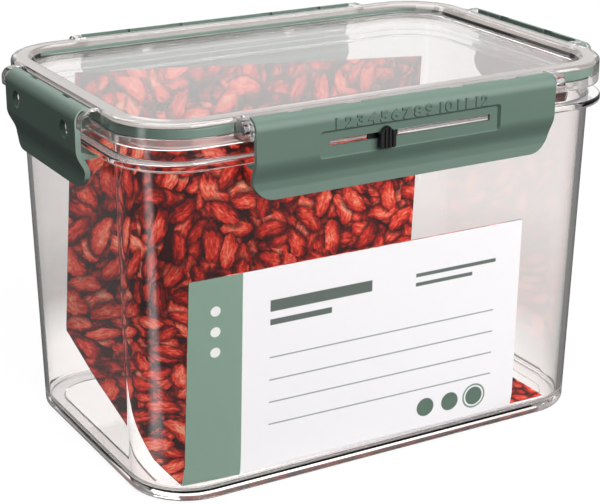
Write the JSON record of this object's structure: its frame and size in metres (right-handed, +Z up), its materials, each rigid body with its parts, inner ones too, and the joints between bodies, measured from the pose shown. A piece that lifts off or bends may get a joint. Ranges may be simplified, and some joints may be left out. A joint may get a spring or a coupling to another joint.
{
  "type": "clip-lid food container",
  "caption": "Deep clear rectangular food box with a clear sealed lid, hinged clips on its sides, a sliding date marker and a printed insert card.",
  "frame": {"origin": "on the surface the container stands on, below the middle of the tub", "axes": "+Z up, +X along the long front side to the right, -Y out of the front side with the date slider"},
  "size_m": [0.2056, 0.1432, 0.1352],
  "materials": {
    "clear_tub": "polished clear plastic with a faint warm tint",
    "clear_lid": "polished clear plastic",
    "seal_rubber": "matte green silicone",
    "clip_green": "satin grey-green moulded plastic",
    "slider_black": "satin black",
    "printed_card": "printed, semi-gloss"
  },
  "bodies": {
    "container": {"box_body": "clear_tub", "lid": "clear_lid", "seal_ring": "seal_rubber", "insert_card": "printed_card"},
    "front_clip_body": {"front_clip": "clip_green"},
    "right_clip_body": {"right_clip": "clip_green"},
    "back_clip_body": {"back_clip": "clip_green"},
    "left_clip_body": {"left_clip": "clip_green"},
    "date_slider_body": {"date_slider": "slider_black"}
  },
  "joints": [
    {"name": "front_clip_hinge", "type": "hinge", "parent": "container", "child": "front_clip_body", "pos_m": [0, -0.0671, 0.1311], "axis": [-1, 0, 0], "range_deg": [0, 100]},
    {"name": "right_clip_hinge", "type": "hinge", "parent": "container", "child": "right_clip_body", "pos_m": [0.099, 0, 0.1311], "axis": [0, -1, 0], "range_deg": [0, 100]},
    {"name": "back_clip_hinge", "type": "hinge", "parent": "container", "child": "back_clip_body", "pos_m": [0, 0.0671, 0.1311], "axis": [1, 0, 0], "range_deg": [0, 100]},
    {"name": "left_clip_hinge", "type": "hinge", "parent": "container", "child": "left_clip_body", "pos_m": [-0.099, 0, 0.1311], "axis": [0, 1, 0], "range_deg": [0, 100]},
    {"name": "date_slide", "type": "slide", "parent": "front_clip_body", "child": "date_slider_body", "axis": [1, 0, 0], "range_m": [-0.01895, 0.03975]}
  ]
}
